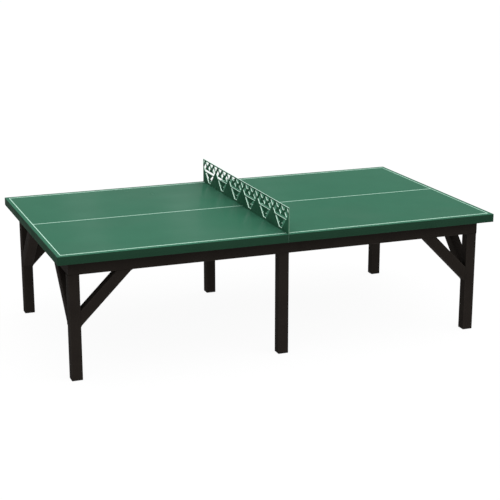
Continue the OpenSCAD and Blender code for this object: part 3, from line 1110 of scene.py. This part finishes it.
def hex_head(s, height, hole=0.0):
    """A hexagon with its corners chamfered away, top and bottom, and an optional hole."""
    flat = s.flats / 2
    corner = flat / math.cos(math.pi / 6)
    # The end rings are cut back to the chamfer circle, just inside the flats
    circle = flat * 0.985
    rows = [(circle, 0.0), (corner, HEX_CHAMFER), (corner, height - HEX_CHAMFER), (circle, height)]
    bm = bmesh.new()
    steps = 24
    turns = [math.tau * i / steps for i in range(steps)]
    hexagon = [flat / math.cos((turn + math.pi / 6) % (math.pi / 3) - math.pi / 6) for turn in turns]

    def ring(reach, z):
        reaches = [min(reach, side) for side in hexagon]
        return [
            bm.verts.new((radius * math.cos(turn), radius * math.sin(turn), z))
            for radius, turn in zip(reaches, turns)
        ]

    rings = [ring(reach, z) for reach, z in rows]
    if hole:
        rings += [ring(hole, z) for z in (height, 0.0)]
    else:
        bm.faces.new(rings[0][::-1])
        bm.faces.new(rings[-1])
    pairs = list(zip(rings, rings[1:])) + ([(rings[-1], rings[0])] if hole else [])
    for a, b in pairs:
        for i in range(steps):
            j = (i + 1) % steps
            bm.faces.new((a[i], a[j], b[j], b[i]))
    bmesh.ops.recalc_face_normals(bm, faces=bm.faces[:])
    return bm


def threaded_shank(s, top, plain):
    """A shank whose upper part carries thread ridges and a chamfered point."""
    radius = s.bolt / 2
    root = radius * 0.87
    pitch = THREAD_PITCH
    profile = [(0, 0), (radius, 0), (radius, plain)]
    height = plain
    while height + pitch < top - pitch:
        profile += [(root, height + pitch * 0.5), (radius, height + pitch)]
        height += pitch
    profile += [(root, top - pitch * 0.4), (root * 0.8, top), (0, top)]
    return turned(profile, 16)


def instanced(name, shape, points, material, tilt, replaced, most_turn=math.tau, seed=3):
    """Sets a shape on every point through the fixing tree and keeps the result as one piece."""
    mesh = bpy.data.meshes.new(name + "_shape")
    shape.to_mesh(mesh)
    shape.free()
    part = bpy.data.objects.new(name + "_part", mesh)
    bpy.context.scene.collection.objects.link(part)
    tree = fixing_tree(name + "_nodes", seed, material)
    given = dict(zip(("Fixing", "Seed", "Tilt", "Most turn"), (part, seed, tilt, most_turn)))
    for item in tree.group.interface.items_tree:
        if item.in_out == "INPUT" and item.name in given:
            tree.values[item.identifier] = given[item.name]
    made = tree.run(name, points_mesh(name + "_points", points))
    bpy.data.objects.remove(part)
    return place_mesh(name, made, [material], replaced, 30.0)


class TABLE_OT_top_fixings(bpy.types.Operator):
    """Sets the bolts, washers and inserts that hold the top"""

    bl_idname = "table.top_fixings"
    bl_label = "Top Fixings"

    def execute(self, context):
        s = context.scene.table_fixings
        zinc = shared("zinc_plate", zinc_plate, s)
        brass = shared("turned_brass", turned_brass, s)
        spots = [place @ Vector((s.bolt_line, 0, 0)) for place in bracket_places().values()]
        under = Z * (s.bracket_wall + s.washer_depth)
        low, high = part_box("top_bolts")
        grip = s.bracket_wall + s.washer_depth
        bolt = hex_head(s, s.head)
        add_to(bolt, threaded_shank(s, high.z - low.z - s.head, grip + THREAD_START), s.head)
        heads = [p - under - Z * s.head for p in spots]
        instanced("top_bolts_hex", bolt, heads, zinc, 0.0, ["top_bolts"], math.tau, 3)
        seats = [p - under for p in spots]
        instanced("top_washers_flat", washer_shape(s), seats, zinc, 0.0, ["top_washers"])
        instanced("top_inserts_brass", self.insert(s), spots, brass, 0.0, ["top_inserts"])
        return {"FINISHED"}

    @staticmethod
    def insert(s):
        """A ribbed sleeve with two grooves round it."""
        bore, outer, depth = s.bolt / 2 + CLEARANCE, s.insert / 2, s.insert_depth
        groove, lead = outer * 0.93, outer * 0.97
        profile = [(bore, 0), (lead, 0), (outer, RIM_ROUND)]
        for share_of_depth in (0.3, 0.62):
            start = depth * share_of_depth
            end = start + GROOVE_WIDTH
            profile += [(outer, start), (groove, start + GROOVE_TAPER)]
            profile += [(groove, end - GROOVE_TAPER), (outer, end)]
        profile += [(outer, depth - RIM_ROUND), (lead, depth), (bore, depth)]
        return turned(profile, 20)


def washer_shape(s):
    """A flat washer with stamped, slightly rounded edges."""
    bore, outer, thick = s.bolt / 2 + CLEARANCE, s.washer / 2, s.washer_depth
    soft = WASHER_ROUND
    profile = [
        (bore, soft), (bore + soft, 0), (outer - soft, 0), (outer, soft),
        (outer, thick - soft), (outer - soft, thick), (bore + soft, thick), (bore, thick - soft),
    ]
    return turned(profile, 32)


class TABLE_OT_net_fixings(bpy.types.Operator):
    """Sets the cross bolts, washers and nuts that hold the net plate"""

    bl_idname = "table.net_fixings"
    bl_label = "Net Fixings"

    def execute(self, context):
        s = context.scene.table_fixings
        zinc = shared("zinc_plate", zinc_plate, s)
        low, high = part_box("net_bolts")
        wall_low, wall_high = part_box("net_washers")
        height = (low.z + high.z) / 2
        half = s.flats / 2 / math.cos(math.pi / 6)
        reach = high.y - half
        rows = (-reach, 0.0, reach)
        quarter = math.pi / 2
        bolt = hex_head(s, s.head)
        plain = wall_high.x - wall_low.x + s.nut * 0.1
        add_to(bolt, threaded_shank(s, high.x - low.x - s.head, plain), s.head)
        heads = [Vector((low.x, y, height)) for y in rows]
        instanced("net_bolts_hex", bolt, heads, zinc, quarter, ["net_bolts"], math.tau, 5)
        seats = (wall_low.x, wall_high.x - s.washer_depth)
        washers = [Vector((x, y, height)) for y in rows for x in seats]
        instanced("net_washers_flat", washer_shape(s), washers, zinc, quarter, ["net_washers"])
        nuts = [Vector((wall_high.x, y, height)) for y in rows]
        nut = hex_head(s, s.nut, s.bolt / 2 + CLEARANCE)
        instanced("net_nuts_hex", nut, nuts, zinc, quarter, ["net_nuts"], math.tau, 9)
        return {"FINISHED"}


class TABLE_OT_stage(bpy.types.Operator):
    """Sets the pale floor, the soft light and the camera"""

    bl_idname = "table.stage"
    bl_label = "Stage"

    def execute(self, context):
        s = context.scene.table_stage
        self.floor(s)
        self.backdrop(s)
        self.sky(context, s)
        self.lamp(s)
        for spot in STRIP_SPOTS:
            self.strip(s, Vector(spot))
        self.camera(context, s)
        context.scene.view_settings.view_transform = "Standard"
        return {"FINISHED"}

    def floor(self, s):
        half = s.floor / 2
        mesh = bpy.data.meshes.new("floor")
        corners = [(-half, -half, 0), (half, -half, 0), (half, half, 0), (-half, half, 0)]
        mesh.from_pydata(corners, [], [(0, 1, 2, 3)])
        f = Finish("pale_floor")
        f.set(Specular_IOR_Level=0.0, Emission_Strength=0.94)
        f.surface.inputs["Emission Color"].default_value = (1.0, 1.0, 1.0, 1.0)
        cloud = f.noise(0.7, 2.0, 0.5)
        base = f.mix(f.spread(cloud, 0.3, 0.7, 0.0, 0.04), tuple(s.pale), darker(s.pale, 0.97))
        mesh.materials.append(f.finish(base, f.spread(cloud, 0.3, 0.7, 0.8, 0.9)))
        floor = bpy.data.objects.new("floor", mesh)
        floor.visible_glossy = False
        bpy.context.scene.collection.objects.link(floor)

    def backdrop(self, s):
        """A white dome that only the camera sees."""
        bm = bmesh.new()
        bmesh.ops.create_uvsphere(bm, u_segments=48, v_segments=24, radius=s.floor * DOME_SHARE)
        bmesh.ops.reverse_faces(bm, faces=bm.faces[:])
        mesh = bpy.data.meshes.new("backdrop")
        bm.to_mesh(mesh)
        bm.free()
        f = Finish("white_backdrop")
        f.set(Specular_IOR_Level=0.0, Emission_Strength=1.0, Base_Color=(0.0, 0.0, 0.0))
        f.surface.inputs["Emission Color"].default_value = (1.0, 1.0, 1.0, 1.0)
        mesh.materials.append(f.material)
        dome = bpy.data.objects.new("backdrop", mesh)
        for rays in ("diffuse", "glossy", "transmission", "volume_scatter", "shadow"):
            setattr(dome, "visible_" + rays, False)
        bpy.context.scene.collection.objects.link(dome)

    def sky(self, context, s):
        world = bpy.data.worlds.new("studio")
        world.use_nodes = True
        background = world.node_tree.nodes["Background"]
        background.inputs["Color"].default_value = (1.0, 1.0, 1.0, 1.0)
        background.inputs["Strength"].default_value = s.sky
        context.scene.world = world

    def lamp(self, s):
        """One very wide soft lamp overhead, a little to the front and to the right."""
        data = bpy.data.lights.new("soft_lamp", "SUN")
        data.energy = s.lamp
        data.angle = math.radians(LAMP_SPREAD)
        lamp = bpy.data.objects.new("soft_lamp", data)
        lamp.rotation_mode = "QUATERNION"
        lamp.rotation_quaternion = Vector(LAMP_AIM).to_track_quat("-Z", "Y")
        bpy.context.scene.collection.objects.link(lamp)

    def strip(self, s, spot):
        """A tall narrow softbox behind the table, for the long sheen on the lacquer."""
        data = bpy.data.lights.new("strip_light", "AREA")
        data.shape = "RECTANGLE"
        data.size, data.size_y = STRIP_SIZE
        data.energy = s.strip
        strip = bpy.data.objects.new("strip_light", data)
        strip.location = spot
        strip.rotation_mode = "QUATERNION"
        strip.rotation_quaternion = (Vector((0.0, 0.0, spot.z)) - spot).to_track_quat("-Z", "Z")
        strip.visible_camera = False
        bpy.context.scene.collection.objects.link(strip)

    def camera(self, context, s):
        data = bpy.data.cameras.new("camera")
        data.lens = s.lens
        data.sensor_width = 36.0
        data.clip_end = 500.0
        camera = bpy.data.objects.new("camera", data)
        camera.location = CAMERA_SPOT
        camera.rotation_euler = CAMERA_TURN
        context.scene.collection.objects.link(camera)
        context.scene.camera = camera


OPERATORS = (
    TABLE_OT_top,
    TABLE_OT_net,
    TABLE_OT_rails,
    TABLE_OT_legs,
    TABLE_OT_braces,
    TABLE_OT_welds,
    TABLE_OT_feet,
    TABLE_OT_brackets,
    TABLE_OT_top_fixings,
    TABLE_OT_net_fixings,
    TABLE_OT_stage,
)


class TABLE_PT_panel(bpy.types.Panel):
    """Lists the pieces of the table"""

    bl_label = "Ping Pong Table"
    bl_idname = "TABLE_PT_panel"
    bl_space_type = "VIEW_3D"
    bl_region_type = "UI"
    bl_category = "Table"

    def draw(self, context):
        for name, group in SETTINGS.items():
            box = self.layout.box()
            box.label(text=group.__doc__)
            for key in group.__annotations__:
                box.prop(getattr(context.scene, name), key)
        for operator in OPERATORS:
            self.layout.operator(operator.bl_idname)


CLASSES = (*SETTINGS.values(), *OPERATORS, TABLE_PT_panel)


def register():
    for cls in CLASSES:
        bpy.utils.register_class(cls)
    for name, group in SETTINGS.items():
        setattr(bpy.types.Scene, name, PointerProperty(type=group))


def unregister():
    for name in SETTINGS:
        delattr(bpy.types.Scene, name)
    for cls in reversed(CLASSES):
        bpy.utils.unregister_class(cls)


def main():
    register()
    for operator in OPERATORS:
        group, name = operator.bl_idname.split(".")
        getattr(getattr(bpy.ops, group), name)()


if __name__ == "__main__":
    main()
